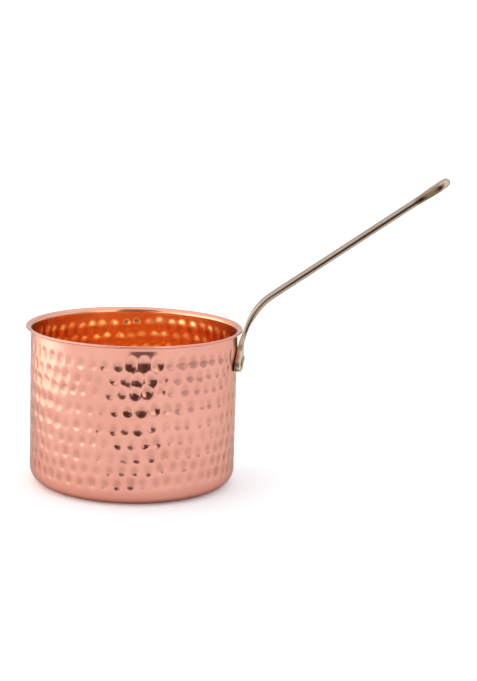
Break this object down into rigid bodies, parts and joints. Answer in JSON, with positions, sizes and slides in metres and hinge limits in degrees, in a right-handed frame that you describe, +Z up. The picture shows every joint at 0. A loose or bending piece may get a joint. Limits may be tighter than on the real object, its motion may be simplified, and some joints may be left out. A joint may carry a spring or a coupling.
{
  "type": "saucepan",
  "caption": "Round, straight-sided saucepan in hammered copper with a flared lip and a long, raised brass handle riveted to its wall.",
  "frame": {"origin": "centre of the base's underside, on the pan's axis", "axes": "+Z up out of the pan's mouth, +X out along the handle, +Y to the left of someone who holds the handle and looks along +X"},
  "size_m": [0.2799, 0.1462, 0.2144],
  "materials": {
    "copper": "polished, hammered copper",
    "handle_brass": "polished cast brass",
    "rivet_brass": "peened brass, lightly polished"
  },
  "bodies": {
    "root": {"pan_body": "copper", "handle": "handle_brass", "rivet_left": "rivet_brass", "rivet_right": "rivet_brass"}
  },
  "joints": []
}
